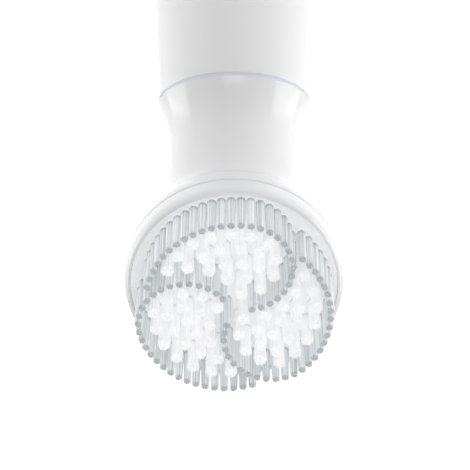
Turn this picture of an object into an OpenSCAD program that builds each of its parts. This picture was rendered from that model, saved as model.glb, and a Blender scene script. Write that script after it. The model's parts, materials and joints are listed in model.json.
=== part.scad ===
// Battery facial cleansing brush: a round rotating head set at an angle on an upright handle.
// The handle axis is +Z, it stands on its flat end at Z = 0, and the bristles face -Y and up.

/* [Head] */
// Angle of the brush axis from the handle axis
head_tilt = 41; // [30:1:50]
// Height of the point where the brush axis crosses the handle axis
head_z = 145; // [138:1:165]
// Outer radius of the brush rim and the collar
rim_r = 26.8; // [25:0.1:33]
// Wall of the brush rim
rim_wall = 1.5; // [1:0.1:2]
// Height of the brush rim
rim_h = 5.4; // [4.8:0.1:7]
// Thickness of the bristle plate
plate_t = 2; // [1.6:0.1:2.6]
// Depth of the plate below the top of the rim
plate_recess = 0.6; // [0.2:0.1:1.2]
// Height of the clear tufts above the plate
clear_tuft_h = 12.4; // [10:0.1:16]
// Height of the white tufts above the plate
white_tuft_h = 10.7; // [8:0.1:16]
// Diameter of one clear tuft
clear_tuft_d = 2; // [1.2:0.1:2.2]
// Diameter of one white tuft
white_tuft_d = 2.7; // [2:0.1:3]
// Gap between the edge of the plate and the outermost tuft
tuft_edge_gap = 0.6; // [0.3:0.1:2]

/* [Swirl] */
// Number of swirls
swirls = 3; // [3:1:3]
// Clear tufts along one swirl
swirl_tufts = 29; // [20:1:30]
// Direction in which the first swirl touches the edge of the plate
swirl_angle = 18.9; // [0:0.1:60]
// Outer arc of a swirl, as a share of the tuft circle
outer_arc = 0.91; // [0.8:0.01:0.95]
// Inner arc of a swirl, as a share of the tuft circle
inner_arc = 0.488; // [0.45:0.001:0.55]
// Sweep of the outer arc
outer_sweep = 88.6; // [80:0.1:95]
// Sweep of the inner arc
inner_sweep = 159.5; // [140:0.5:165]

/* [Housing] */
// Height of the collar that carries the drive deck
collar_h = 5; // [3:0.5:7]
// Depth of the head housing behind the top of the collar
bowl_depth = 20.4; // [18:0.1:24]
// Radius of the neck at its waist
waist_r = 16.4; // [16:0.1:19]
// Height of the waist
waist_z = 116; // [112:0.5:118]
// Radius of the neck where it enters the head
neck_top_r = 18.2; // [17.5:0.1:20]
// Wall of the neck and the head housing
shell_wall = 2; // [1.6:0.1:2.6]

/* [Handle] */
// Height of the seam between the handle and the neck
seam_z = 103; // [98:0.5:106]
// Outer radius at the seam
seam_r = 19.2; // [18.8:0.1:21]
// Largest radius of the handle
belly_r = 21; // [20.5:0.1:25]
// Height of the largest radius
belly_z = 62; // [50:1:75]
// Radius at the top of the bottom cap
cap_r = 19.4; // [19:0.1:21]
// Radius of the flat face that the handle stands on
foot_r = 16; // [14:0.1:17.5]
// Height of the bottom cap
cap_h = 14; // [12:0.5:20]
// Radius of the bore of the handle
bore_r = 17.4; // [17.2:0.1:18]
// Thickness of the soft ring in the seam
seam_ring_t = 0.8; // [0.6:0.1:1.4]
// Length of the spigots of the neck and the cap
spigot_l = 7; // [5:0.5:9]

/* [Controls] */
// Radius of the power button
button_r = 6.5; // [5:0.1:7]
// Height of the power button
button_z = 68; // [66:0.5:69]
// Travel of the power button
button_travel = 0.8; // [0.4:0.1:1]
// Height of the light window
lamp_z = 79; // [78.5:0.5:88]
// Radius of the light window
lamp_r = 1.2; // [0.8:0.1:1.6]

/* [Drive] */
// Gear module
gear_m = 0.5; // [0.5:0.1:0.5]
// Teeth of the motor pinion and of the idler pinion
pinion_teeth = 12; // [12:1:14]
// Teeth of the idler wheel
idler_teeth = 28; // [24:1:30]
// Teeth of the output gear
output_teeth = 38; // [34:1:40]
// Radius of the output spindle
spindle_r = 2.5; // [2:0.1:3]
// Radius of the motor
motor_r = 6; // [5:0.1:7]
// Length of the motor
motor_l = 18; // [14:0.5:18]
// Radius of the motor shaft and of the idler pin
pin_r = 0.75; // [0.6:0.05:1]

/* [Battery] */
// Radius of one cell
cell_r = 7.2; // [5:0.1:7.3]
// Length of one cell
cell_l = 50; // [40:0.5:50.5]

/* [Hidden] */
$fn = 96;

slip = 0.05;       // running clearance of a shaft, on the radius
set_gap = 0.02;    // clearance of a fixed seat, on the radius
free_gap = 0.2;    // clearance of parts that slide together by hand
part_gap = 0.4;    // gap at the parting line of a moving cover
eps = 0.01;

// heights along the brush axis, from the point where it crosses the handle axis
collar_top = 6.4;
deck_t = 1.6;
base_t = 1.6;
deck_z = collar_top - deck_t;
rim_z = collar_top + part_gap;
rim_top = rim_z + rim_h;
plate_top = rim_top - plate_recess;
plate_z = plate_top - plate_t;
face_w = 2;
gear_gap = 0.4;
output_z = deck_z - gear_gap - face_w;
wheel_z = output_z - 3.4;
base_top = wheel_z - 0.6;
base_z = base_top - base_t;

// radii in the head
plate_r = rim_r - rim_wall - 2 * set_gap;
swirl_r = plate_r - tuft_edge_gap - clear_tuft_d / 2;
deck_r = rim_r - 2.8;
base_r = deck_r - 1.9;
ledge_r = base_r - 2.6;
bush_r = spindle_r + 1.6;
flat_x = spindle_r * 0.76;
socket_r = spindle_r + 2.5;
post_ring = base_r - 2.8;
post_r = 2;
screw_r = 0.9;

// gear axes in the head plane
function pitch_r(teeth) = gear_m * teeth / 2;
idler_gap = pitch_r(output_teeth) + pitch_r(pinion_teeth);
motor_gap = pitch_r(idler_teeth) + pitch_r(pinion_teeth);
motor_y = -9;
idler_y = (motor_gap * motor_gap - idler_gap * idler_gap - motor_y * motor_y) / (-2 * motor_y);
idler_x = sqrt(idler_gap * idler_gap - idler_y * idler_y);
output_dir = atan2(idler_y, idler_x);
idler_to_motor = atan2(motor_y - idler_y, -idler_x);

// handle
neck_in_r = waist_r - shell_wall;
neck_top_z = head_z + 1;
spigot_r = bore_r - free_gap;
shell_low = cap_h + part_gap;
shell_high = seam_z - seam_ring_t;
bezel_wall = 1.7;
bezel_r = button_r + free_gap + bezel_wall;
bezel_back = 15.6;
flange_r = button_r + 1.5;
flange_y = 15.2;
board_y = 8;
board_t = 1.6;
board_bay_low = button_z - bezel_r - 1;
switch_h = 3;
cell_x = cell_r + free_gap;
cell_y = 2;
cell_z = cap_h + spigot_l + 3.4;
chassis_low = cap_h + spigot_l + 1.4;
chassis_high = seam_z - spigot_l - 1.4;
contact_t = 0.6;

// --- helpers ---
module at_head() {
    translate([0, 0, head_z]) rotate([head_tilt, 0, 0]) children();
}

module ring(r_out, r_in, h) {
    difference() {
        cylinder(r = r_out, h = h);
        translate([0, 0, -1]) cylinder(r = r_in, h = h + 2);
    }
}

module along_y(x, y, z) {
    translate([x, y, z]) rotate([90, 0, 0]) children();
}

// radius that eases from r_mid at z_mid to r_end at z_end
function eased(z, z_mid, r_mid, z_end, r_end) =
    r_mid + (r_end - r_mid) * pow((z - z_mid) / (z_end - z_mid), 2);

function steps(low, high, n) = [for (i = [0 : n]) low + (high - low) * i / n];

// --- swirl pattern ---
// place along a swirl: two arcs that meet on the tuft circle, s from 0 to 1
function swirl_point(s) =
    let (first = outer_arc * outer_sweep, whole = first + inner_arc * inner_sweep, run = s * whole)
    run < first
        ? let (a = (first - run) / outer_arc)
            [1 - outer_arc + outer_arc * cos(a), outer_arc * sin(a)]
        : let (a = (run - first) / inner_arc)
            [1 - inner_arc + inner_arc * cos(a), -inner_arc * sin(a)];

// rows of white tufts inside a swirl, in tuft circle radii: centre x, y, radius, first angle, step, count
white_rows = [
    [0.136, 0.051, 0.705, 77.5, -16.4, 7],
    [0.016, -0.028, 0.668, 59, -16.7, 6],
    [-0.044, -0.042, 0.556, 42, -18, 5],
    [0.1, -0.024, 0.256, 37, -44, 3],
    [0.162, -0.046, 0, 0, 0, 1]
];

module tuft(d, h) {
    cylinder(r = d / 2, h = h, $fn = 16);
}

module clear_swirl(index) {
    color("lightsteelblue")
        at_head() rotate(swirl_angle + 360 * index / swirls)
            for (i = [0 : swirl_tufts - 1])
                translate([each swirl_point(i / (swirl_tufts - 1)) * swirl_r, plate_top])
                    tuft(clear_tuft_d, clear_tuft_h);
}

module white_swirl(index) {
    color("white")
        at_head() rotate(swirl_angle + 360 * index / swirls)
            for (row = white_rows, i = [0 : row[5] - 1])
                translate([
                    (row[0] + row[2] * cos(row[3] + row[4] * i)) * swirl_r,
                    (row[1] + row[2] * sin(row[3] + row[4] * i)) * swirl_r,
                    plate_top
                ]) tuft(white_tuft_d, white_tuft_h);
}

// --- gears ---
function involute(base, t) = [base * (cos(t) + t * PI / 180 * sin(t)), base * (sin(t) - t * PI / 180 * cos(t))];
function turned(p, a) = [p[0] * cos(a) - p[1] * sin(a), p[0] * sin(a) + p[1] * cos(a)];

module gear_outline(teeth, backlash = 0.06) {
    pitch = pitch_r(teeth);
    base = pitch * cos(20);
    root = pitch - 1.2 * gear_m;
    tip = pitch + 0.9 * gear_m;
    t_pitch = sqrt(pow(pitch / base, 2) - 1) * 180 / PI;
    t_tip = sqrt(pow(tip / base, 2) - 1) * 180 / PI;
    at_pitch = involute(base, t_pitch);
    half = 90 / teeth - backlash / pitch * 90 / PI;
    shift = -half - atan2(at_pitch[1], at_pitch[0]);
    flank = [for (t = steps(0, t_tip, 5)) turned(involute(base, t), shift)];
    foot = turned([root, 0], shift);
    side = concat([foot], flank);
    mirrored = [for (i = [len(side) - 1 : -1 : 0]) [side[i][0], -side[i][1]]];
    polygon([for (k = [0 : teeth - 1], p = concat(side, mirrored)) turned(p, 360 * k / teeth)]);
}

module gear(teeth, h, hole) {
    difference() {
        linear_extrude(h) gear_outline(teeth);
        translate([0, 0, -1]) cylinder(r = hole, h = h + 2);
    }
}

// --- outlines of the shells ---
module neck_solid(top) {
    up = steps(seam_z, waist_z, 8);
    on = steps(waist_z, head_z - 15, 8);
    rotate_extrude()
        polygon(concat(
            [[0, seam_z]],
            [for (z = up) [eased(z, waist_z, waist_r, seam_z, seam_r), z]],
            [for (z = on) [eased(z, waist_z, waist_r, head_z - 15, neck_top_r), z]],
            [[neck_top_r, top], [0, top]]
        ));
}

module bowl_solid() {
    low = collar_top - collar_h;
    depth = bowl_depth - collar_h;
    rotate_extrude()
        polygon(concat(
            [[0, collar_top], [rim_r - 0.3, collar_top], [rim_r, collar_top - 0.3], [rim_r - 0.7, low]],
            [for (a = [10 : 10 : 90]) [(rim_r - 0.7) * cos(a), low - depth * sin(a)]]
        ));
}

module head_space() {
    translate([-60, -60, -60]) cube([120, 120, 60 + collar_top]);
}

// --- casings ---
module neck_housing() {
    color("white") difference() {
        union() {
            at_head() bowl_solid();
            intersection() {
                neck_solid(neck_top_z);
                at_head() head_space();
            }
            translate([0, 0, seam_z - spigot_l]) cylinder(r = spigot_r, h = spigot_l + eps);
        }
        translate([0, 0, seam_z - spigot_l - 1])
            cylinder(r = neck_in_r, h = neck_top_z - seam_z + spigot_l - 10);
        at_head() {
            translate([0, 0, deck_z]) cylinder(r = deck_r + set_gap, h = 10);
            translate([0, 0, base_z]) cylinder(r = base_r + set_gap, h = 20);
            translate([0, 0, base_z - 5]) cylinder(r = ledge_r, h = 10);
            translate([0, motor_y, base_z - motor_l - 3]) cylinder(r = motor_r + 2, h = motor_l + 5);
        }
    }
}

module handle_shell() {
    color("white") difference() {
        rotate_extrude()
            polygon(concat(
                [[0, shell_low]],
                [for (z = steps(shell_low, belly_z, 10)) [eased(z, belly_z, belly_r, shell_low, cap_r), z]],
                [for (z = steps(belly_z, shell_high, 10)) [eased(z, belly_z, belly_r, shell_high, seam_r), z]],
                [[0, shell_high]]
            ));
        translate([0, 0, shell_low - 1]) cylinder(r = bore_r, h = shell_high - shell_low + 2);
        along_y(0, -5, button_z) cylinder(r = bezel_r + slip, h = 30);
        along_y(0, -5, lamp_z) cylinder(r = lamp_r + slip, h = 30);
    }
}

module seam_ring() {
    color("lavender") translate([0, 0, shell_high]) ring(seam_r - 0.15, spigot_r + set_gap, seam_ring_t);
}

module button_bezel() {
    color("silver") along_y(0, -bezel_back, button_z)
        ring(bezel_r, button_r + free_gap, belly_r - bezel_back + 0.2);
}

module lamp_window() {
    color("paleturquoise") along_y(0, -bore_r + 0.4, lamp_z) cylinder(r = lamp_r, h = seam_r - bore_r + 0.4);
}

module bottom_cap() {
    color("white") difference() {
        union() {
            rotate_extrude()
                polygon(concat(
                    [[0, 0]],
                    [for (a = [0 : 15 : 90]) [foot_r + (cap_r - 0.5 - foot_r) * sin(a), 3 * (1 - cos(a))]],
                    [[cap_r, cap_h], [0, cap_h]]
                ));
            cylinder(r = spigot_r, h = cap_h + spigot_l);
        }
        translate([0, 0, 3]) cylinder(r = spigot_r - shell_wall - 1, h = cap_h + spigot_l);
        translate([0, 0, cap_h + 3]) ring(spigot_r + 1, spigot_r - 1.2, 1.8);
    }
}

module cap_seal() {
    color("dimgray") translate([0, 0, cap_h + 3 + 0.05])
        ring(spigot_r + free_gap / 2, spigot_r - 1.2 + set_gap, 1.7);
}

module cap_contact() {
    color("goldenrod") union() {
        translate([-cell_x, cell_y - 3, 3]) cube([2 * cell_x, 6, contact_t]);
        for (side = [-1, 1])
            translate([side * cell_x, cell_y, 3]) cylinder(r1 = 3, r2 = 2, h = cell_z - 3.3, $fn = 32);
    }
}

// --- drive, fixed parts ---
module gearbox_base() {
    color("gainsboro") at_head() difference() {
        union() {
            translate([0, 0, base_z]) cylinder(r = base_r, h = base_t);
            for (a = [30, 150, 270])
                rotate(a) translate([post_ring, 0, base_z]) cylinder(r = post_r, h = deck_z - base_z);
        }
        translate([0, 0, base_z - 1]) cylinder(r = bush_r + set_gap, h = base_t + 2);
        translate([0, motor_y, base_z - 1]) cylinder(r = 2.2, h = base_t + 2);
        translate([idler_x, idler_y, base_z - 1]) cylinder(r = pin_r + set_gap, h = base_t + 2);
        for (a = [30, 150, 270])
            rotate(a) translate([post_ring, 0, deck_z - 4]) cylinder(r = screw_r + set_gap, h = 5);
    }
}

module drive_deck() {
    color("whitesmoke") at_head() difference() {
        translate([0, 0, deck_z]) cylinder(r = deck_r, h = deck_t);
        translate([0, 0, deck_z - 1]) cylinder(r = bush_r + set_gap, h = deck_t + 2);
        translate([idler_x, idler_y, deck_z - 1]) cylinder(r = pin_r + set_gap, h = 1.8);
        for (a = [30, 150, 270])
            rotate(a) translate([post_ring, 0, deck_z - 1]) {
                cylinder(r = screw_r + free_gap, h = deck_t + 2);
                translate([0, 0, 1 + deck_t - 0.9]) cylinder(r = 2, h = 2);
            }
    }
}

module deck_screws() {
    color("silver") at_head()
        for (a = [30, 150, 270])
            rotate(a) translate([post_ring, 0, deck_z - 3.6]) difference() {
                union() {
                    cylinder(r = screw_r, h = 3.6 + deck_t - 0.9);
                    translate([0, 0, 3.6 + deck_t - 0.9]) cylinder(r = 1.8, h = 0.8);
                }
                translate([-0.25, -1, 3.6 + deck_t - 0.5]) cube([0.5, 2, 2]);
                translate([-1, -0.25, 3.6 + deck_t - 0.5]) cube([2, 0.5, 2]);
            }
}

module spindle_seal() {
    color("dimgray") at_head() translate([0, 0, collar_top]) ring(bush_r + 0.6, spindle_r + slip, 0.9);
}

module upper_bush() {
    color("tan") at_head() translate([0, 0, deck_z]) ring(bush_r, spindle_r + slip, deck_t);
}

module lower_bush() {
    color("tan") at_head() translate([0, 0, base_z]) ring(bush_r, spindle_r + slip, base_t);
}

module motor_can() {
    color("silver") at_head() translate([0, motor_y, base_z - motor_l]) difference() {
        union() {
            cylinder(r = motor_r, h = motor_l);
            cylinder(r = 2, h = motor_l + 0.8);
        }
        translate([0, 0, motor_l - 7]) cylinder(r = pin_r + slip, h = 10);
    }
}

module motor_sleeve() {
    color("dimgray") at_head() translate([0, motor_y, base_z - motor_l + 2])
        ring(motor_r + 1.2, motor_r + set_gap, motor_l - 4);
}

module motor_terminals() {
    color("goldenrod") at_head()
        for (side = [-1, 1])
            translate([side * 3 - 0.8, motor_y - 0.2, base_z - motor_l - 2]) cube([1.6, 0.4, 2]);
}

module idler_pin() {
    color("silver") at_head() translate([idler_x, idler_y, base_z])
        cylinder(r = pin_r, h = deck_z - base_z + 0.6);
}

// --- drive, turning parts ---
module output_spindle() {
    color("silver") at_head() difference() {
        translate([0, 0, base_z]) cylinder(r = spindle_r, h = plate_top - 1.2 - base_z);
        for (side = [-1, 1])
            translate([side * (flat_x + 5) - 5, -5, collar_top + 1.2]) cube([10, 10, 20]);
    }
}

module output_gear() {
    color("ivory") at_head() translate([0, 0, output_z])
        rotate(output_dir + 180 / output_teeth) gear(output_teeth, face_w, spindle_r + set_gap);
}

module idler_gear() {
    color("ivory") at_head() translate([idler_x, idler_y, 0]) {
        translate([0, 0, wheel_z]) rotate(idler_to_motor) gear(idler_teeth, face_w, pin_r + slip);
        translate([0, 0, wheel_z + face_w]) rotate(output_dir + 180)
            gear(pinion_teeth, output_z - wheel_z, pin_r + slip);
    }
}

module motor_shaft() {
    color("silver") at_head() translate([0, motor_y, base_z - 6])
        cylinder(r = pin_r, h = wheel_z + face_w - base_z + 6);
}

module motor_pinion() {
    color("goldenrod") at_head() translate([0, motor_y, wheel_z])
        rotate(idler_to_motor + 180 + 180 / pinion_teeth) gear(pinion_teeth, face_w, pin_r + set_gap);
}

// --- brush head ---
module brush_plate() {
    color("white") at_head() translate([0, 0, plate_z]) difference() {
        cylinder(r = plate_r, h = plate_t);
        translate([0, 0, -1]) cylinder(r = socket_r + set_gap, h = plate_t);
    }
}

module brush_rim() {
    color("white") at_head() rotate_extrude()
        polygon(concat(
            [[rim_r - rim_wall, rim_z], [rim_r, rim_z]],
            [for (a = [0 : 15 : 90])
                [rim_r - 0.9 * rim_wall * (1 - cos(a)), rim_top - 2.4 + 2.4 * sin(a)]],
            [
                [rim_r - rim_wall, rim_top - 0.3], [rim_r - rim_wall, plate_z],
                [rim_r - rim_wall - 1.2, plate_z], [rim_r - rim_wall - 1.2, plate_z - 0.8],
                [rim_r - rim_wall, plate_z - 1.6]
            ]
        ));
}

module drive_socket() {
    color("gainsboro") at_head() difference() {
        translate([0, 0, collar_top + 1.4]) cylinder(r = socket_r, h = plate_top - 1 - collar_top - 1.4);
        intersection() {
            translate([0, 0, collar_top]) cylinder(r = spindle_r + slip, h = plate_top - 1.1 - collar_top);
            translate([-flat_x - slip, -5, collar_top]) cube([2 * (flat_x + slip), 10, 20]);
        }
    }
}

// --- controls and power ---
module power_button() {
    color("lavender") union() {
        along_y(0, -flange_y, button_z) cylinder(r = button_r, h = belly_r - flange_y + 0.4);
        along_y(0, -flange_y + 1, button_z) cylinder(r = flange_r, h = 1);
        along_y(0, -board_y - board_t - switch_h - button_travel - 0.1, button_z) cylinder(r = 1.6, h = 2);
    }
}

module circuit_board() {
    color("seagreen") translate([-9, -board_y - board_t, board_bay_low + 1])
        cube([18, board_t, chassis_high - board_bay_low - 3]);
}

module tact_switch() {
    color("dimgray") union() {
        translate([-3, -board_y - board_t - switch_h + 0.6, button_z - 3]) cube([6, switch_h - 0.6, 6]);
        along_y(0, -board_y - board_t - 1, button_z) cylinder(r = 1.5, h = switch_h - 1, $fn = 32);
    }
}

module status_lamp() {
    color("aqua") along_y(0, -board_y - board_t, lamp_z) cylinder(r = 1.5, h = 5, $fn = 32);
}

module chassis() {
    color("gainsboro") difference() {
        translate([0, 0, chassis_low]) cylinder(r = bore_r - free_gap, h = chassis_high - chassis_low);
        for (side = [-1, 1])
            translate([side * cell_x, cell_y, chassis_low - 1])
                cylinder(r = cell_r + free_gap / 2, h = cell_z + cell_l + 2.6 - chassis_low);
        translate([-5, cell_y - 4, chassis_low - 1]) cube([10, 8, cell_z + cell_l + 2.6 - chassis_low]);
        translate([-10, -20, board_bay_low]) cube([20, 20 - board_y - board_t, 60]);
        translate([-9 - free_gap / 2, -board_y - board_t - 1, board_bay_low + 1])
            cube([18 + free_gap, board_t + 1, chassis_high - board_bay_low - 3]);
        translate([-20, -20, cell_z + 6]) cube([40, 12, cell_l - 34]);
        translate([-20, 11, cell_z + 8]) cube([40, 12, cell_l - 16]);
    }
}

module battery_cells() {
    color("steelblue")
        for (side = [-1, 1])
            translate([side * cell_x, cell_y, cell_z]) union() {
                cylinder(r = cell_r, h = cell_l);
                cylinder(r = 2.7, h = cell_l + 0.9);
            }
}

module top_contacts() {
    color("goldenrod")
        for (side = [-1, 1])
            translate([side * cell_x - 3, cell_y - 3, cell_z + cell_l + 0.95]) cube([6, 6, contact_t]);
}

neck_housing();
handle_shell();
seam_ring();
button_bezel();
lamp_window();
gearbox_base();
drive_deck();
deck_screws();
spindle_seal();
upper_bush();
lower_bush();
motor_can();
motor_sleeve();
motor_terminals();
idler_pin();
chassis();
circuit_board();
tact_switch();
status_lamp();
battery_cells();
top_contacts();
output_spindle();
output_gear();
idler_gear();
motor_shaft();
motor_pinion();
brush_plate();
brush_rim();
drive_socket();
clear_swirl(0);  // clear_tufts_a
clear_swirl(1);  // clear_tufts_b
clear_swirl(2);  // clear_tufts_c
white_swirl(0);  // white_tufts_a
white_swirl(1);  // white_tufts_b
white_swirl(2);  // white_tufts_c
power_button();
bottom_cap();
cap_contact();
cap_seal();
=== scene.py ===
import json
import math
import random
import bpy
import bmesh
from mathutils import Matrix, Vector


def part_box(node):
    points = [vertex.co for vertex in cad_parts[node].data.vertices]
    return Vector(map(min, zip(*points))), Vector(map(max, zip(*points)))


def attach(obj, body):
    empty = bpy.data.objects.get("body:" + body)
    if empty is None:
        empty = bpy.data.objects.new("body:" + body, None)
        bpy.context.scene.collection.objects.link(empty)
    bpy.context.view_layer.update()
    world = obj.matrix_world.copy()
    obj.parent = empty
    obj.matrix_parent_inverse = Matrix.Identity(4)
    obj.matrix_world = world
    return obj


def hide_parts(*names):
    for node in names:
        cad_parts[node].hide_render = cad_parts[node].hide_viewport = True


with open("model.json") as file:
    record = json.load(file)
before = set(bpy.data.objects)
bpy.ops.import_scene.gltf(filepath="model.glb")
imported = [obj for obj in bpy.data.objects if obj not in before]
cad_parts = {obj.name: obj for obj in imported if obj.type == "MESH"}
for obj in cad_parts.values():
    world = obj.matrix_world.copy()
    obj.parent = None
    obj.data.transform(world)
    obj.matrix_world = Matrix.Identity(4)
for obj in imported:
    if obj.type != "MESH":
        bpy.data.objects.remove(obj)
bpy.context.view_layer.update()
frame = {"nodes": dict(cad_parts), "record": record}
mm = 0.001
random.seed(11)
print("frame loaded")


def jointNamed(name):
    return next(j for j in frame["record"]["behaviour"]["joints"] if j["name"] == name)


def boxRadius(node):
    low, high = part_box(node)
    return (high[0] - low[0]) / 2


# the head's own axes: origin at the joint of the spindle, Z out along the bristles
headJoint = jointNamed("spindle_turn")
headTilt = math.atan2(-headJoint["axis"][1], headJoint["axis"][2])
headPlace = Matrix.Translation(headJoint["pos_m"]) @ Matrix.Rotation(headTilt, 4, "X")

head = {                                # heights are along the head axis
    "rimR": boxRadius("brush_rim"),
    "plateR": boxRadius("brush_plate"),
    "deckR": boxRadius("drive_deck"),
    "collarTop": 6.5 * mm,              # the parting line lies just above it
    "rimLow": 6.7 * mm,
    "rimTop": 12.2 * mm,
    "plateLow": 9.6 * mm,
    "plateTop": 11.6 * mm,
    "tipTop": 24.0 * mm,
    "whiteDrop": 1.7 * mm,              # white tufts stop short of the clear ones
}
handle = {
    "seamZ": 103.0 * mm,
    "seamR": boxRadius("seam_ring") + 0.15 * mm,
    "bandZ": 102.2 * mm,
    "bellyR": boxRadius("handle_shell"),
    "bellyZ": 62.0 * mm,
    "lowZ": 14.4 * mm,
    "lowR": boxRadius("bottom_cap"),
    "boreR": 17.4 * mm,
    "boreEnd": 4 * mm,                  # the outline starts and stops this far up the bore's ends
    "rings": 40,
    "seatY": 18 * mm,                   # middle and depth of the cuts for the bezel and the lamp
    "seatDepth": 12 * mm,
}
edge = {                                # fillet radii that the moulded pieces share
    "hair": 0.1 * mm,
    "fine": 0.15 * mm,
    "soft": 0.2 * mm,
    "round": 0.3 * mm,
    "full": 0.35 * mm,
}


# helpers for meshes
def toMesh(bm, name):
    mesh = bpy.data.meshes.new(name)
    bm.to_mesh(mesh)
    bm.free()
    return mesh


def finish(bm, name, material, smooth=40):
    mesh = toMesh(bm, name)
    piece = bpy.data.objects.new(name, mesh)
    bpy.context.scene.collection.objects.link(piece)
    mesh.materials.append(material)
    if smooth:
        for face in mesh.polygons:
            face.use_smooth = True
        mesh.set_sharp_from_angle(angle=math.radians(smooth))
    return piece


def rounded(corners, steps=5):          # corners are (r, z, fillet radius)
    points = []
    count = len(corners)
    for i, (r, z, fillet) in enumerate(corners):
        here = Vector((r, z))
        if fillet <= 0 or i in (0, count - 1):
            points.append(here)
            continue
        before = (Vector(corners[i - 1][:2]) - here).normalized()
        after = (Vector(corners[i + 1][:2]) - here).normalized()
        half = before.angle(after) / 2
        reach = fillet / math.tan(half)
        start, end = here + before * reach, here + after * reach
        centre = here + (before + after).normalized() * (fillet / math.sin(half))
        a, b = start - centre, end - centre
        for k in range(steps + 1):
            points.append(centre + a.slerp(b, k / steps).normalized() * fillet)
    return points


def quarter(step):                      # angles of a quarter turn, step in degrees
    return [math.radians(a) for a in range(0, 91, step)]


def lathe(profile, place=None, steps=128, closed=True):
    bm = bmesh.new()
    verts = [bm.verts.new((p[0], 0, p[1])) for p in profile]
    pairs = zip(verts, verts[1:] + verts[:1]) if closed else zip(verts, verts[1:])
    edges = [bm.edges.new(pair) for pair in pairs]
    bmesh.ops.spin(bm, geom=verts + edges, cent=(0, 0, 0), axis=(0, 0, 1), angle=2 * math.pi,
                   steps=steps, use_merge=True)
    bmesh.ops.remove_doubles(bm, verts=bm.verts, dist=1e-6)
    bmesh.ops.recalc_face_normals(bm, faces=bm.faces)
    if place:
        bmesh.ops.transform(bm, matrix=place, verts=bm.verts)
    return bm


def eased(z, midZ, midR, endZ, endR):   # radius of a smooth swell or waist
    return midR + (endR - midR) * ((z - midZ) / (endZ - midZ)) ** 2


def spline(rows, share):                # smooth curve through the rows, share from 0 to 1
    spot = share * (len(rows) - 1)
    i = min(int(spot), len(rows) - 2)
    t = spot - i
    near = (rows[max(i - 1, 0)], rows[i], rows[i + 1], rows[min(i + 2, len(rows) - 1)])
    return [0.5 * (2 * b + (c - a) * t + (2 * a - 5 * b + 4 * c - d) * t * t
                   + (3 * b - a - 3 * c + d) * t ** 3) for a, b, c, d in zip(*near)]


def addCopy(bm, template, place):
    first = len(bm.verts)
    bm.from_mesh(template)
    bm.verts.ensure_lookup_table()
    bmesh.ops.transform(bm, matrix=place, verts=bm.verts[first:])


# helpers for materials
socketNames = {
    "color": "Base Color", "metal": "Metallic", "ior": "IOR", "clear": "Transmission Weight",
    "coat": "Coat Weight", "coatRough": "Coat Roughness", "sheen": "Sheen Weight",
    "deep": "Subsurface Weight", "deepScale": "Subsurface Scale",
    "glow": "Emission Strength", "glowColor": "Emission Color",
}


def newMaterial(name, **values):
    material = bpy.data.materials.new(name)
    material.use_nodes = True
    shader = material.node_tree.nodes["Principled BSDF"]
    for key, value in values.items():
        if key in ("color", "glowColor"):
            value = (*value, 1.0)
        shader.inputs[socketNames[key]].default_value = value
    return material, material.node_tree, shader


def addNode(tree, kind, values):
    node = tree.nodes.new(kind)
    for socket, value in values.items():
        node.inputs[socket].default_value = value
    return node


def addMath(tree, operation, *terms):   # a term is a number or another node's output
    node = tree.nodes.new("ShaderNodeMath")
    node.operation = operation
    for socket, term in zip(node.inputs, terms):
        if isinstance(term, bpy.types.NodeSocket):
            tree.links.new(term, socket)
        else:
            socket.default_value = term
    return node.outputs[0]


def addToned(tree, value, color):       # the colour made lighter or darker by the value
    toned = tree.nodes.new("ShaderNodeHueSaturation")
    tree.links.new(value, toned.inputs["Value"])
    tree.links.new(color, toned.inputs["Color"])
    return toned.outputs["Color"]


mouldedFinish = {
    "inputs": {
        "Tone": ("NodeSocketColor", (0.9, 0.9, 0.9, 1)), "Drift": ("NodeSocketFloat", 0.03),
        "Gloss": ("NodeSocketFloat", 0.2), "Marks": ("NodeSocketFloat", 0.05),
        "Peel": ("NodeSocketFloat", 0.05), "Grain": ("NodeSocketFloat", 700.0),
    },
    "outputs": {"Color": "NodeSocketColor", "Roughness": "NodeSocketFloat", "Normal": "NodeSocketVector"},
    "cloud": {"Scale": 60, "Detail": 3},            # soft drift of tone
    "fine": {"Detail": 2},                          # faint orange peel
    "streak": {"Scale": 1, "Detail": 4},            # fine handling marks
    "stretch": {"Scale": (2400, 2400, 90), "Rotation": (0.5, 0.2, 0)},
    "peelDepth": 0.04 * mm,
}


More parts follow.
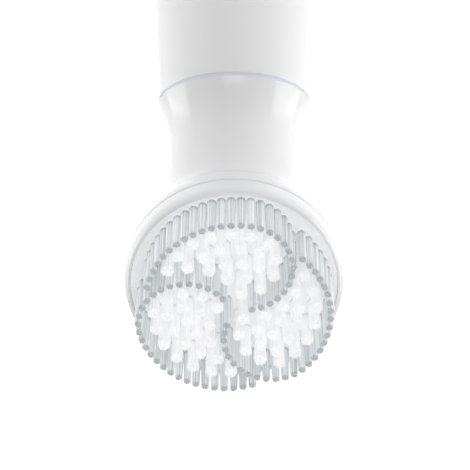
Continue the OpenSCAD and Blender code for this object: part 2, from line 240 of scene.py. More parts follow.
def mouldedGroup():
    look = mouldedFinish
    group = bpy.data.node_groups.new("mouldedFinish", "ShaderNodeTree")
    for name, (kind, value) in look["inputs"].items():
        group.interface.new_socket(name, in_out="INPUT", socket_type=kind).default_value = value
    for name, kind in look["outputs"].items():
        group.interface.new_socket(name, in_out="OUTPUT", socket_type=kind)
    links = group.links
    start, end = group.nodes.new("NodeGroupInput"), group.nodes.new("NodeGroupOutput")
    place = group.nodes.new("ShaderNodeTexCoord").outputs["Object"]
    cloud = addNode(group, "ShaderNodeTexNoise", look["cloud"])
    fine = addNode(group, "ShaderNodeTexNoise", look["fine"])
    streak = addNode(group, "ShaderNodeTexNoise", look["streak"])
    stretch = addNode(group, "ShaderNodeMapping", look["stretch"])
    for node in (cloud, fine, stretch):
        links.new(place, node.inputs["Vector"])
    links.new(stretch.outputs["Vector"], streak.inputs["Vector"])
    links.new(start.outputs["Grain"], fine.inputs["Scale"])
    shift = addMath(group, "SUBTRACT", cloud.outputs["Fac"], 0.5)
    lift = addMath(group, "MULTIPLY_ADD", shift, start.outputs["Drift"], 1)
    links.new(addToned(group, lift, start.outputs["Tone"]), end.inputs["Color"])
    mark = addMath(group, "MULTIPLY_ADD", streak.outputs["Fac"], start.outputs["Marks"],
                   start.outputs["Gloss"])
    links.new(mark, end.inputs["Roughness"])
    bump = addNode(group, "ShaderNodeBump", {"Distance": look["peelDepth"]})
    links.new(start.outputs["Peel"], bump.inputs["Strength"])
    links.new(fine.outputs["Fac"], bump.inputs["Height"])
    links.new(bump.outputs["Normal"], end.inputs["Normal"])
    return group


moulded = mouldedGroup()


def mouldedMaterial(name, tone, drift, gloss, marks, peel, grain, **values):
    material, tree, shader = newMaterial(name, **values)
    finishNode = tree.nodes.new("ShaderNodeGroup")
    finishNode.node_tree = moulded
    for key, value in (("Tone", (*tone, 1)), ("Drift", drift), ("Gloss", gloss), ("Marks", marks),
                       ("Peel", peel), ("Grain", grain)):
        finishNode.inputs[key].default_value = value
    tree.links.new(finishNode.outputs["Color"], shader.inputs["Base Color"])
    tree.links.new(finishNode.outputs["Roughness"], shader.inputs["Roughness"])
    tree.links.new(finishNode.outputs["Normal"], shader.inputs["Normal"])
    return material


# tone, then drift, gloss, marks, peel and grain
glossWhite = mouldedMaterial("glossWhiteShell", (0.85, 0.85, 0.853), 0.02, 0.16, 0.05, 0.1, 500,
                             coat=0.4, coatRough=0.1)
# painted light: the plate's tone is lighter than the shell's and it glows faintly, lifting the face that the
# rim and tufts shade
plateWhite = mouldedMaterial("plateWhite", (0.88, 0.885, 0.895), 0.03, 0.12, 0.06, 0.1, 600,
                             coat=0.5, coatRough=0.04, glow=0.22, glowColor=(0.88, 0.885, 0.895))
seamLavender = mouldedMaterial("seamLavender", (0.70, 0.70, 0.82), 0.05, 0.42, 0.1, 0.5, 2200, sheen=0.1)
buttonSatin = mouldedMaterial("buttonSatin", (0.66, 0.67, 0.82), 0.04, 0.34, 0.1, 0.4, 2600, coat=0.1)
satinChrome = mouldedMaterial("satinChrome", (0.72, 0.73, 0.76), 0.03, 0.14, 0.12, 0.06, 3000, metal=1.0)
framePlastic = mouldedMaterial("framePlastic", (0.62, 0.63, 0.65), 0.05, 0.45, 0.12, 0.6, 1800)
acetal = mouldedMaterial("acetalGear", (0.82, 0.79, 0.68), 0.05, 0.3, 0.12, 0.25, 1500,
                         deep=0.1, deepScale=1 * mm)
rubber = mouldedMaterial("siliconeRubber", (0.035, 0.035, 0.04), 0.2, 0.55, 0.2, 0.7, 2500)
switchBlack = mouldedMaterial("switchBlack", (0.02, 0.02, 0.024), 0.1, 0.4, 0.1, 0.5, 2500)
solderMask = mouldedMaterial("solderMask", (0.015, 0.14, 0.07), 0.15, 0.25, 0.1, 0.3, 2000, coat=0.3)
cellJacket = mouldedMaterial("cellJacket", (0.06, 0.12, 0.25), 0.06, 0.22, 0.1, 0.15, 900,
                             metal=0.6, coat=0.4)
steel = mouldedMaterial("drawnSteel", (0.62, 0.63, 0.65), 0.06, 0.2, 0.22, 0.15, 3000, metal=1.0)
bronze = mouldedMaterial("sinteredBronze", (0.55, 0.36, 0.17), 0.15, 0.38, 0.2, 0.7, 4000, metal=1.0)
contactMetal = mouldedMaterial("contactMetal", (0.72, 0.6, 0.34), 0.08, 0.22, 0.15, 0.15, 2500, metal=1.0)
lampLens = mouldedMaterial("lampLens", (0.6, 0.82, 0.9), 0.03, 0.12, 0.05, 0.05, 1500,
                           clear=0.6, ior=1.49)
windowClear = mouldedMaterial("windowClear", (0.7, 0.86, 0.93), 0.03, 0.08, 0.05, 0.05, 1500,
                              clear=0.7, ior=1.49)

# the faint glow stands for light that scatters on from filament to filament; the darker root colour is
# painted shade at the foot of each tuft, and the white tufts' lighter tip colour is a painted highlight
clearLook = {
    "root": (0.38, 0.40, 0.42), "mid": (0.70, 0.725, 0.735), "tip": (0.55, 0.57, 0.58),
    "tipStart": 0.97, "fleck": 0.4,
    "shader": {"clear": 0.1, "ior": 1.5, "coat": 0.2, "coatRough": 0.3, "glow": 0.22},
}
whiteLook = {
    "root": (0.55, 0.56, 0.58), "mid": (0.895, 0.895, 0.898), "tip": (0.94, 0.94, 0.94),
    "tipStart": 0.88, "fleck": 0.1,
    "shader": {"glow": 0.21},
}
bristleFinish = {"rootShadeEnd": 0.14, "grain": 3500, "rough": {"To Min": 0.28, "To Max": 0.5}}


def bristleMaterial(name, look):
    material, tree, shader = newMaterial(name, **look["shader"])
    nodes, links = tree.nodes, tree.links
    along = nodes.new("ShaderNodeAttribute")
    along.attribute_name = "along"      # 0 at the root, 1 at the tip
    # the ramp paints shade from the root up to its first mid stop; above tipStart it lightens the white
    # tufts with a painted highlight and darkens the clear ones
    ramp = nodes.new("ShaderNodeValToRGB")
    ramp.color_ramp.elements[0].color = (*look["root"], 1)
    ramp.color_ramp.elements[1].color = (*look["tip"], 1)
    for spot in (bristleFinish["rootShadeEnd"], look["tipStart"]):
        ramp.color_ramp.elements.new(spot).color = (*look["mid"], 1)
    links.new(along.outputs["Fac"], ramp.inputs["Fac"])
    strand = nodes.new("ShaderNodeAttribute")
    strand.attribute_name = "strand"    # one random value for each filament
    shift = addMath(tree, "MULTIPLY_ADD", strand.outputs["Fac"], look["fleck"], 1 - look["fleck"] / 2)
    toned = addToned(tree, shift, ramp.outputs["Color"])
    links.new(toned, shader.inputs["Base Color"])
    links.new(toned, shader.inputs["Emission Color"])
    place = nodes.new("ShaderNodeTexCoord")
    grain = addNode(tree, "ShaderNodeTexNoise", {"Scale": bristleFinish["grain"]})
    links.new(place.outputs["Object"], grain.inputs["Vector"])
    rough = addNode(tree, "ShaderNodeMapRange", bristleFinish["rough"])
    links.new(grain.outputs["Fac"], rough.inputs["Value"])
    links.new(rough.outputs["Result"], shader.inputs["Roughness"])
    return material


clearBristle = bristleMaterial("clearBristle", clearLook)
whiteBristle = bristleMaterial("whiteBristle", whiteLook)

nodeFinish = {
    "gearbox_base": framePlastic, "drive_deck": framePlastic, "chassis": framePlastic,
    "deck_screws": steel, "motor_can": steel, "motor_shaft": steel, "idler_pin": steel,
    "output_spindle": steel,
    "spindle_seal": rubber, "motor_sleeve": rubber, "cap_seal": rubber,
    "upper_bush": bronze, "lower_bush": bronze, "motor_pinion": bronze,
    "motor_terminals": contactMetal, "top_contacts": contactMetal, "cap_contact": contactMetal,
    "circuit_board": solderMask, "tact_switch": switchBlack, "status_lamp": lampLens,
    "lamp_window": windowClear, "battery_cells": cellJacket,
    "output_gear": acetal, "idler_gear": acetal, "drive_socket": acetal, "seam_ring": seamLavender,
}


def finishNodes():
    for nodeName, material in nodeFinish.items():
        mesh = frame["nodes"][nodeName].data
        if not mesh.materials:
            mesh.materials.append(material)
        for i in range(len(mesh.materials)):
            mesh.materials[i] = material


finishNodes()
print("materials made")


# head housing and neck, one smooth moulding
housing = {
    "waistR": 16.4 * mm,
    "waistZ": 116.0 * mm,
    "neckRings": 4,
    # front Y, front Z, back Y, back Z and half width in millimetres, from the waist up to the collar
    "throat": [
        (-16.45, 118.8, 16.6, 121.5, 16.5), (-16.65, 121.2, 17.1, 127.5, 16.9),
        (-17.0, 123.2, 18.0, 134.2, 17.6), (-17.5, 124.9, 19.2, 141.0, 18.8),
        (-18.1, 126.3, 20.2, 147.4, 20.6), (-18.8, 127.4, 20.8, 153.0, 22.8),
        (-19.6, 128.2, 20.5, 158.3, 24.8),
    ],
    # how far inside the rim, and how high on the head axis
    "collar": [(0.7 * mm, 1.4 * mm), (0.28 * mm, 3.6 * mm)],
    "collarEdge": 0.5 * mm,
    "deckGap": 0.1 * mm,
    "deckSeat": 2.4 * mm,
    "wall": 1.8 * mm,
    "spigotR": 17.2 * mm,
    "spigotL": 7.0 * mm,
    "spigotTop": 1 * mm,                # below the seam
    "outerRings": 72,
    "innerRings": 24,
    "sides": 128,
}


def headRing(r, z):                     # front and back points and half width of a ring in the head
    front, back = headPlace @ Vector((0, -r, z)), headPlace @ Vector((0, r, z))
    return [front.y, front.z, back.y, back.z, r]


def levelRing(r, z):
    return [-r, z, r, z, r]


def housingRows():                      # the rings that give the outside its form, from the seam up
    rows = []
    seamZ, waistZ = handle["seamZ"], housing["waistZ"]
    for i in range(housing["neckRings"] + 1):
        z = seamZ + (waistZ - seamZ) * i / housing["neckRings"]
        rows.append(levelRing(eased(z, waistZ, housing["waistR"], seamZ, handle["seamR"]), z))
    rows += [[v * mm for v in row] for row in housing["throat"]]
    rows += [headRing(head["rimR"] - inset, z) for inset, z in housing["collar"]]
    return rows


def outerRings(rows):
    count, lip = housing["outerRings"], housing["collarEdge"]
    rings = [spline(rows, i / count) for i in range(count + 1)]
    for a in quarter(30):               # rounded top edge of the collar
        r, z = head["rimR"] - lip * (1 - math.cos(a)), head["collarTop"] - lip * (1 - math.sin(a))
        rings.append(headRing(r, z))
    return rings


def innerRings(rows):                   # back down the inside, from the deck's seat to the spigot
    wall, count, top = housing["wall"], housing["innerRings"], head["collarTop"]
    deckR = head["deckR"] + housing["deckGap"]
    rings = [headRing(deckR, top), headRing(deckR, top - housing["deckSeat"])]
    for i in range(count - 2, -1, -1):
        fy, fz, by, bz, hx = spline(rows, i / count)
        span = Vector((by - fy, bz - fz)).normalized() * wall
        rings.append([fy + span.x, fz + span.y, by - span.x, bz - span.y, hx - wall])
    spigotR, seamZ, bevel = housing["spigotR"], handle["seamZ"], edge["round"]
    lowZ = seamZ - housing["spigotL"]
    rings += [levelRing(spigotR - wall, seamZ - housing["spigotTop"]), levelRing(spigotR - wall, lowZ)]
    rings += [levelRing(spigotR - bevel, lowZ), levelRing(spigotR, lowZ + bevel), levelRing(spigotR, seamZ)]
    rings += [levelRing(handle["seamR"] - bevel, seamZ)]
    return rings


def ringPlace(fy, fz, by, bz, hx):      # lays a unit circle on the ring
    half = Vector((0, by - fy, bz - fz)) / 2
    normal = Vector((1, 0, 0)).cross(half).normalized()
    return Matrix.Translation((0, (fy + by) / 2, (fz + bz) / 2)) @ Matrix(
        ((hx, 0, 0, 0), (0, half.y, normal.y, 0), (0, half.z, normal.z, 0), (0, 0, 0, 1)))


def makeHousing():
    rows = housingRows()
    bm = bmesh.new()
    loops = []
    for ring in outerRings(rows) + innerRings(rows):
        made = bmesh.ops.create_circle(bm, segments=housing["sides"], radius=1, matrix=ringPlace(*ring))
        loops.append([e for v in made["verts"] for e in v.link_edges if e.verts[0] is v])
    for one, two in zip(loops, loops[1:] + loops[:1]):
        bmesh.ops.bridge_loops(bm, edges=one + two)
    bmesh.ops.recalc_face_normals(bm, faces=bm.faces)
    piece = finish(bm, "headHousing", glossWhite, smooth=50)
    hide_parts("neck_housing")
    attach(piece, "casing")


makeHousing()
print("housing made")


# handle shell, with the seats of the button's bezel and the lamp
bezel = {
    "seatR": boxRadius("button_bezel"),
    "gap": 0.05 * mm,
    "holeR": 6.7 * mm,
    "frontY": -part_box("button_bezel")[0][1],
    "backY": 15.6 * mm,
    "outerBevel": (0.55 * mm, 0.5 * mm),            # across and down
    "innerBevel": (0.5 * mm, 0.6 * mm),
}
button = {
    "z": 68 * mm,
    "capR": 6.5 * mm,
    "capEdge": 0.7 * mm,
    "frontY": -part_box("power_button")[0][1],
    "flangeY": 15.2 * mm,
    "flangeR": 8 * mm,
    "flangeL": 1 * mm,
    "stemY": -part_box("power_button")[1][1],
    "stemR": 1.6 * mm,
    "dishRim": 0.8,                     # share of the cap's radius
    "dishR": 0.74,
    "dishDepth": 0.45 * mm,
    "dishRise": 0.35 * mm,
}
lamp = {"z": 79 * mm, "r": 1.25 * mm}


def facingFront(y, z):                  # Z of the lathe points to -Y
    return Matrix.Translation((0, y, z)) @ Matrix.Rotation(math.radians(90), 4, "X")


def cutRound(piece, radius, place, depth):
    bm = bmesh.new()
    bmesh.ops.create_cone(bm, cap_ends=True, segments=96, radius1=radius, radius2=radius, depth=depth,
                          matrix=place)
    cutter = finish(bm, "cutter", glossWhite)
    cut = piece.modifiers.new("seat", "BOOLEAN")
    cut.operation = "DIFFERENCE"
    cut.solver = "EXACT"
    cut.object = cutter
    evaluated = piece.evaluated_get(bpy.context.evaluated_depsgraph_get())
    mesh = bpy.data.meshes.new_from_object(evaluated)
    piece.modifiers.clear()
    piece.data = mesh
    bpy.data.objects.remove(cutter)


def makeHandle():
    h = handle
    lowZ, bandZ, boreR, boreEnd = h["lowZ"], h["bandZ"], h["boreR"], h["boreEnd"]
    outer = []
    for i in range(h["rings"] + 1):
        z = lowZ + (bandZ - lowZ) * i / h["rings"]
        end = (lowZ, h["lowR"]) if z < h["bellyZ"] else (bandZ, h["seamR"])
        outer.append((eased(z, h["bellyZ"], h["bellyR"], *end), z, 0))
    corners = [(boreR, lowZ + boreEnd, 0), (boreR, lowZ, edge["round"]), (outer[0][0], lowZ, edge["full"])]
    corners += outer[1:-1]
    corners += [(outer[-1][0], bandZ, edge["full"]), (boreR, bandZ, edge["soft"]),
                (boreR, bandZ - boreEnd, 0)]
    piece = finish(lathe(rounded(corners), steps=160), "handleBody", glossWhite)
    for radius, z in ((bezel["seatR"] + bezel["gap"], button["z"]), (lamp["r"], lamp["z"])):
        cutRound(piece, radius, facingFront(-h["seatY"], z), h["seatDepth"])
    piece.data.set_sharp_from_angle(angle=math.radians(40))
    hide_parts("handle_shell")
    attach(piece, "casing")


def makeBezel():
    holeR, seatR, depth = bezel["holeR"], bezel["seatR"], bezel["frontY"] - bezel["backY"]
    outerIn, outerDown = bezel["outerBevel"]
    innerOut, innerDown = bezel["innerBevel"]
    corners = [(holeR, depth / 2, 0), (holeR, 0, edge["fine"]), (seatR, 0, edge["fine"]),
               (seatR, depth - outerDown, edge["round"]), (seatR - outerIn, depth, edge["round"]),
               (holeR + innerOut, depth, edge["soft"]), (holeR, depth - innerDown, edge["soft"]),
               (holeR, depth / 2, 0)]
    ring = rounded(corners)[:-1]        # the last point is the first again
    bm = lathe(ring, facingFront(-bezel["backY"], button["z"]), steps=96)
    piece = finish(bm, "buttonRing", satinChrome)
    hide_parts("button_bezel")
    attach(piece, "casing")


def makeButton():
    b = button
    r, flangeR, flangeL, stemR, soft = b["capR"], b["flangeR"], b["flangeL"], b["stemR"], edge["soft"]
    top, stemEnd = b["frontY"] - b["flangeY"], b["stemY"] - b["flangeY"]
    corners = [(0, stemEnd, 0), (stemR, stemEnd, soft), (stemR, -flangeL, soft),
               (flangeR, -flangeL, soft), (flangeR, 0, soft), (r, 0, soft), (r, top, b["capEdge"]),
               (r * b["dishRim"], top, edge["hair"])]
    corners += [(r * b["dishR"] * math.sin(a), top - b["dishDepth"] + b["dishRise"] * (1 - math.cos(a)), 0)
                for a in reversed(quarter(15))]
    bm = lathe(rounded(corners), facingFront(-b["flangeY"], b["z"]), steps=96, closed=False)
    piece = finish(bm, "buttonCap", buttonSatin)
    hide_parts("power_button")
    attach(piece, "button")


cap = {
    "footR": 16 * mm,
    "footRise": 3 * mm,
    "footDraft": 0.5 * mm,
    "topZ": 14 * mm,
    "recess": 0.6 * mm,                 # the foot is hollow in the middle
    "recessR": 13 * mm,
    "spigotR": 17.2 * mm,
    "spigotL": 7 * mm,
    "spigotEdge": 0.5 * mm,
    "grooveZ": 17 * mm,                 # for the seal
    "grooveL": 1.8 * mm,
    "grooveDepth": 1.2 * mm,
    "innerR": 14.2 * mm,
    "innerEdge": 1 * mm,
    "floorZ": 3 * mm,
}


def makeCap():
    c = cap
    wide, rise, recess, recessR = handle["lowR"], c["footRise"], c["recess"], c["recessR"]
    footW = wide - c["footDraft"] - c["footR"]
    foot = [(c["footR"] + footW * math.sin(a), rise * (1 - math.cos(a)), 0) for a in quarter(6)]
    corners = [(0, recess, 0), (recessR, recess, edge["round"]), (recessR + recess, 0, edge["round"])]
    corners += foot[:-1] + [(wide - c["footDraft"], rise, 0), (wide, c["topZ"], edge["full"])]
    spigotR, spigotTop, grooveR = c["spigotR"], c["topZ"] + c["spigotL"], c["spigotR"] - c["grooveDepth"]
    grooveLow, grooveTop = c["grooveZ"], c["grooveZ"] + c["grooveL"]
    corners += [(spigotR, c["topZ"], edge["soft"]), (spigotR, grooveLow, edge["fine"]),
                (grooveR, grooveLow, edge["hair"]), (grooveR, grooveTop, edge["hair"]),
                (spigotR, grooveTop, edge["fine"]), (spigotR, spigotTop, c["spigotEdge"]),
                (c["innerR"], spigotTop, edge["round"]), (c["innerR"], c["floorZ"], c["innerEdge"]),
                (0, c["floorZ"], 0)]
    piece = finish(lathe(rounded(corners), steps=160, closed=False), "endCap", glossWhite)
    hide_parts("bottom_cap")
    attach(piece, "cap")


makeHandle()
makeBezel()
makeButton()
makeCap()
print("handle made")


# brush rim and plate
rim = {
    "wall": 1.5 * mm,
    "shoulderH": 2.4 * mm,
    "shoulderIn": 0.9,                  # share of the wall
    "lipIn": 0.02 * mm,
    "lipDrop": 0.28 * mm,
    "lipL": 0.5 * mm,
    "ledgeW": 1.2 * mm,                 # carries the plate
    "ledgeH": 0.8 * mm,
    "ledgeFoot": 1.6 * mm,
    "skirt": (1.2 * mm, 1.4 * mm),      # where the outline starts and ends, above the rim's low edge
}


def makeRim():
    r, low, top, plateLow = head["rimR"], head["rimLow"], head["rimTop"], head["plateLow"]
    inner, rise = r - rim["wall"], rim["shoulderH"]
    skirtStart, skirtEnd = rim["skirt"]
    ledgeR = inner - rim["ledgeW"]
    corners = [(inner, low + skirtStart, 0), (inner, low, edge["fine"]), (r, low, edge["full"])]
    corners += [(r - rim["shoulderIn"] * rim["wall"] * (1 - math.cos(a)), top - rise + rise * math.sin(a), 0)
                for a in quarter(6)]
    corners += [(inner + rim["lipIn"], top - rim["lipDrop"], 0), (inner, top - rim["lipL"], 0),
                (inner, plateLow, 0), (ledgeR, plateLow, edge["hair"]),
                (ledgeR, plateLow - rim["ledgeH"], edge["hair"]),
                (inner, plateLow - rim["ledgeFoot"], edge["hair"]), (inner, low + skirtEnd, 0)]
    piece = finish(lathe(rounded(corners), headPlace, steps=192), "headRim", glossWhite)
    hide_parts("brush_rim")
    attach(piece, "brush_head")


swirl = {
    "count": 3, "tufts": 29, "angle": 18.9, "outerArc": 0.91, "innerArc": 0.488,
    "outerSweep": 88.6, "innerSweep": 159.5,
    "ringR": head["plateR"] - 1.6 * mm,
    # rows of white tufts in ring radii: centre x, y, radius, first angle, step, count
    "whiteRows": [
        (0.136, 0.051, 0.705, 77.5, -16.4, 7), (0.016, -0.028, 0.668, 59, -16.7, 6),
        (-0.044, -0.042, 0.556, 42, -18, 5), (0.1, -0.024, 0.256, 37, -44, 3), (0.162, -0.046, 0, 0, 0, 1)],
}


def swirlPoint(share):                  # share from 0 at the ring to 1 at the swirl's inner end
    s = swirl
    first = s["outerArc"] * s["outerSweep"]
    run = share * (first + s["innerArc"] * s["innerSweep"])
    arc, side = (s["outerArc"], 1) if run < first else (s["innerArc"], -1)
    a = math.radians(abs(first - run) / arc)
    return Vector((1 - arc + arc * math.cos(a), side * arc * math.sin(a), 0)) * s["ringR"]


def swirlTurn(index):
    return Matrix.Rotation(math.radians(swirl["angle"] + 360 / swirl["count"] * index), 4, "Z")


def clearPlaces(index):
    turn, last = swirlTurn(index), swirl["tufts"] - 1
    return [turn @ swirlPoint(i / last) for i in range(last + 1)]


def whitePlaces(index):
    turn = swirlTurn(index)
    return [turn @ (Vector((x + r * math.cos(math.radians(a + step * i)),
                            y + r * math.sin(math.radians(a + step * i)), 0)) * swirl["ringR"])
            for x, y, r, a, step, count in swirl["whiteRows"] for i in range(count)]


plate = {
    "hubR": 5 * mm,                     # hollow over the drive socket
    "hubDepth": 1 * mm,
    "bandDrop": 0.15 * mm,              # raised band along the edge
    "bandW": 0.4 * mm,
    "slopeW": 0.9 * mm,
    "sunk": 0.4 * mm,
    "clearSeatR": 1.0 * mm,
    "whiteSeatR": 1.35 * mm,
    # section of the small collar round each tuft, out from the seat's radius and up
    "seatBead": [(-0.25 * mm, 0), (-0.2 * mm, 0.3 * mm), (0, 0.4 * mm), (0.14 * mm, 0.32 * mm),
                 (0.2 * mm, 0)],
}


def addSeats(bm, placesOf, seatR):
    collar = toMesh(lathe([(seatR + out, up) for out, up in plate["seatBead"]], steps=20), "tuftSeat")
    for k in range(swirl["count"]):
        for p in placesOf(k):
            addCopy(bm, collar, Matrix.Translation((p.x, p.y, head["plateTop"] - plate["sunk"])))
    bpy.data.meshes.remove(collar)


def makePlate():
    r, low, top = head["plateR"], head["plateLow"], head["plateTop"]
    hubR, hubTop = plate["hubR"], low + plate["hubDepth"]
    band, field = top - plate["bandDrop"], top - plate["sunk"]
    corners = [(0, hubTop, 0), (hubR, hubTop, edge["hair"]), (hubR, low, edge["soft"]),
               (r, low, edge["soft"]), (r, band, edge["fine"]), (r - plate["bandW"], band, edge["fine"]),
               (r - plate["slopeW"], field, edge["soft"]), (0, field, 0)]
    disc = toMesh(lathe(rounded(corners), closed=False), "plateDisc")
    bm = bmesh.new()                    # a fresh one, which keeps the seats' vertices in order
    bm.from_mesh(disc)
    bpy.data.meshes.remove(disc)
    addSeats(bm, clearPlaces, plate["clearSeatR"])
    addSeats(bm, whitePlaces, plate["whiteSeatR"])
    bmesh.ops.transform(bm, matrix=headPlace, verts=bm.verts)
    piece = finish(bm, "tuftPlate", plateWhite)
    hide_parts("brush_plate")
    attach(piece, "brush_head")


makeRim()
makePlate()
print("rim and plate made")


# bristles, every tuft a bundle of filaments
clearTuft = {"radius": 0.96 * mm, "rings": 4, "strandR": 0.118 * mm, "splay": -0.24, "dome": 0.1 * mm,
             "uneven": 0.06 * mm, "sides": 6, "levels": 3}
whiteTuft = {"radius": 1.22 * mm, "rings": 5, "strandR": 0.135 * mm, "splay": 0.15, "dome": 0.1 * mm,
             "uneven": 0.35 * mm, "sides": 5, "levels": 4}
bristles = {
    "kinds": 4,                         # different tufts of each sort
    "stray": (0.94, 1.02),              # of a filament's distance from the tuft's middle
    "turn": 0.06,                       # either way round the tuft, in radians
    "lean": (0.5, 1.5),                 # of the tuft's splay
    "wander": 0.05 * mm,
    "tipTaper": 0.55,
    "tipRise": 0.8,                     # in filament radii
    "sunk": 0.35 * mm,                  # roots below the plate's top
    "tipRoom": 0.12 * mm,
}


def strandMesh(spec, length):           # one straight filament along +Z with a rounded tip
    bm = bmesh.new()
    made = bmesh.ops.create_circle(bm, cap_ends=False, segments=spec["sides"], radius=spec["strandR"])
    edges = list({e for v in made["verts"] for e in v.link_edges})
    lift = length / spec["levels"]
    for step in [lift] * spec["levels"] + [spec["strandR"] * bristles["tipRise"]]:
        grown = bmesh.ops.extrude_edge_only(bm, edges=edges)["geom"]
        ring = [g for g in grown if isinstance(g, bmesh.types.BMVert)]
        edges = [g for g in grown if isinstance(g, bmesh.types.BMEdge) and all(v in ring for v in g.verts)]
        bmesh.ops.translate(bm, vec=(0, 0, step), verts=ring)
    taper = bristles["tipTaper"]
    bmesh.ops.scale(bm, vec=(taper, taper, 1), verts=ring)
    bmesh.ops.contextual_create(bm, geom=ring)
    bmesh.ops.recalc_face_normals(bm, faces=bm.faces)
    return toMesh(bm, "strand")


def tuftMesh(spec, length):
    strand = strandMesh(spec, length)
    bm = bmesh.new()
    along = bm.verts.layers.float.new("along")
    shade = bm.verts.layers.float.new("strand")
    for ring in range(spec["rings"] + 1):
        count = max(1, 6 * ring)
        for k in range(count):
            out = spec["radius"] * ring / spec["rings"] * random.uniform(*bristles["stray"])
            a = 2 * math.pi * (k + 0.5 * (ring % 2)) / count
            a += random.uniform(-bristles["turn"], bristles["turn"])
            root = Vector((out * math.cos(a), out * math.sin(a), 0))
            lean = root * spec["splay"] * random.uniform(*bristles["lean"])
            lean += Vector((random.uniform(-1, 1), random.uniform(-1, 1), 0)) * bristles["wander"]
            drop = spec["dome"] * (out / spec["radius"]) ** 2 + random.uniform(0, spec["uneven"])
            tone = random.random()
            first = len(bm.verts)
            bm.from_mesh(strand)
            bm.verts.ensure_lookup_table()
            for v in bm.verts[first:]:
                t = v.co.z / length
                v[along] = min(t, 1)
                v[shade] = tone
                v.co.z *= 1 - drop / length
                v.co += root + lean * t * t
    bpy.data.meshes.remove(strand)
    return toMesh(bm, "tuft")


def makeTufts(name, node, places, kinds, material, base):
    bm = bmesh.new()
    for p in places:
        turn = Matrix.Rotation(random.uniform(0, 2 * math.pi), 4, "Z")
        addCopy(bm, random.choice(kinds), Matrix.Translation((p.x, p.y, base)) @ turn)
    bmesh.ops.transform(bm, matrix=headPlace, verts=bm.verts)
    piece = finish(bm, name, material, smooth=70)
    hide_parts(node)
    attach(piece, "brush_head")


def makeBristles():
    base = head["plateTop"] - bristles["sunk"]
    tall = head["tipTop"] - base - bristles["tipRoom"]
    clearKinds = [tuftMesh(clearTuft, tall) for _ in range(bristles["kinds"])]
    whiteKinds = [tuftMesh(whiteTuft, tall - head["whiteDrop"]) for _ in range(bristles["kinds"])]
    for k, letter in enumerate("abc"[:swirl["count"]]):
        makeTufts("clearSwirl" + letter.upper(), "clear_tufts_" + letter, clearPlaces(k), clearKinds,
                  clearBristle, base)
        makeTufts("whiteField" + letter.upper(), "white_tufts_" + letter, whitePlaces(k), whiteKinds,
                  whiteBristle, base)
    for mesh in clearKinds + whiteKinds:
        bpy.data.meshes.remove(mesh)


makeBristles()
print("bristles made")


# floor, camera and lights
paleFloor = {
    "size": 4,
    "color": (0.93, 0.93, 0.94),
    # lit from behind, dimmer in front of the brush
    "glow": {"From Min": -0.15, "From Max": 0.12, "To Min": 0.12, "To Max": 0.62},
    "seenGlow": 0.62,                   # the least that the camera sees
    "cloud": {"Scale": 3},
    "rough": {"To Min": 0.55, "To Max": 0.65},
}


def makeFloor():
    bm = bmesh.new()
    bmesh.ops.create_grid(bm, x_segments=1, y_segments=1, size=paleFloor["size"])
    material, tree, shader = newMaterial("paleFloor", color=paleFloor["color"], glowColor=(1, 1, 1))
    place = tree.nodes.new("ShaderNodeTexCoord")
    split = tree.nodes.new("ShaderNodeSeparateXYZ")
    glow = addNode(tree, "ShaderNodeMapRange", paleFloor["glow"])
    tree.links.new(place.outputs["Object"], split.inputs["Vector"])
    tree.links.new(split.outputs["Y"], glow.inputs["Value"])
    seen = tree.nodes.new("ShaderNodeLightPath")
    plain = addMath(tree, "MULTIPLY", seen.outputs["Is Camera Ray"], paleFloor["seenGlow"])
    most = addMath(tree, "MAXIMUM", glow.outputs["Result"], plain)
    tree.links.new(most, shader.inputs["Emission Strength"])
    cloud = addNode(tree, "ShaderNodeTexNoise", paleFloor["cloud"])
    rough = addNode(tree, "ShaderNodeMapRange", paleFloor["rough"])
    tree.links.new(cloud.outputs["Fac"], rough.inputs["Value"])
    tree.links.new(rough.outputs["Result"], shader.inputs["Roughness"])
    floor = finish(bm, "floor", material, smooth=0)


# distance, across and up are in radii of the tuft ring, pitch in degrees
view = {"lens": 151.8, "distance": 20.0, "across": -0.0097, "up": -0.7798, "pitch": 19.0}


def cameraAxes():
    pitch = math.radians(view["pitch"])
    up = Vector((0, -math.sin(pitch), -math.cos(pitch)))
    back = Vector((0, -math.cos(pitch), math.sin(pitch)))
    return Vector((-1, 0, 0)), up, back


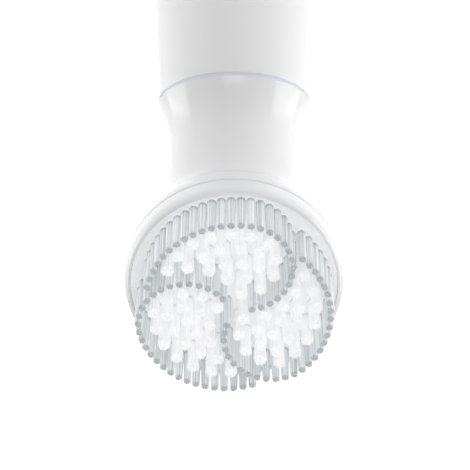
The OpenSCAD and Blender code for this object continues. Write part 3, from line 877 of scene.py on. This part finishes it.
def makeCamera():
    side, up, back = cameraAxes()
    aim = headPlace @ Vector((0, 0, head["tipTop"]))
    spot = aim + (back * view["distance"] - side * view["across"] - up * view["up"]) * swirl["ringR"]
    data = bpy.data.cameras.new("camera")
    data.lens = view["lens"]
    data.sensor_width = 36
    data.clip_start = 0.01
    camera = bpy.data.objects.new("camera", data)
    camera.matrix_world = Matrix.Translation(spot) @ Matrix((side, up, back)).transposed().to_4x4()
    bpy.context.scene.collection.objects.link(camera)
    bpy.context.scene.camera = camera


lights = {                              # offset right, up and towards the camera, size, power in watts
    "leftSoftbox": ((-0.78, -0.05, -0.12), (0.6, 0.9), 3.3),
    "rightSoftbox": ((0.74, -0.05, 0.0), (0.7, 0.9), 3.9),
    "lowSoftbox": ((0.05, -0.8, 0.1), (0.8, 0.4), 1.2),
    "frontSoftbox": ((0.0, -0.2, 0.95), (0.5, 0.5), 1.9),
}
studio = {
    "tone": (0.8, 0.8, 0.805),
    "power": {"To Min": 0.42, "To Max": 1.2},       # what lights the brush, and what the camera sees
}


def addLight(name, offset, size, power):
    side, up, back = cameraAxes()
    aim = Vector(headJoint["pos_m"])
    data = bpy.data.lights.new(name, "AREA")
    data.shape = "RECTANGLE"
    data.size, data.size_y = size
    data.energy = power
    softbox = bpy.data.objects.new(name, data)
    softbox.location = aim + side * offset[0] + up * offset[1] + back * offset[2]
    softbox.rotation_euler = (aim - softbox.location).to_track_quat("-Z", "Y").to_euler()
    bpy.context.scene.collection.objects.link(softbox)


def makeLights():
    for name, values in lights.items():
        addLight(name, *values)
    world = bpy.data.worlds.new("studio")
    world.use_nodes = True
    tree = world.node_tree
    background = tree.nodes["Background"]
    background.inputs["Color"].default_value = (*studio["tone"], 1)
    seen = tree.nodes.new("ShaderNodeLightPath")
    power = addNode(tree, "ShaderNodeMapRange", studio["power"])
    tree.links.new(seen.outputs["Is Camera Ray"], power.inputs["Value"])
    tree.links.new(power.outputs["Result"], background.inputs["Strength"])
    bpy.context.scene.world = world
    bpy.context.scene.view_settings.view_transform = "Standard"


makeFloor()
makeCamera()
makeLights()
print("stage made")
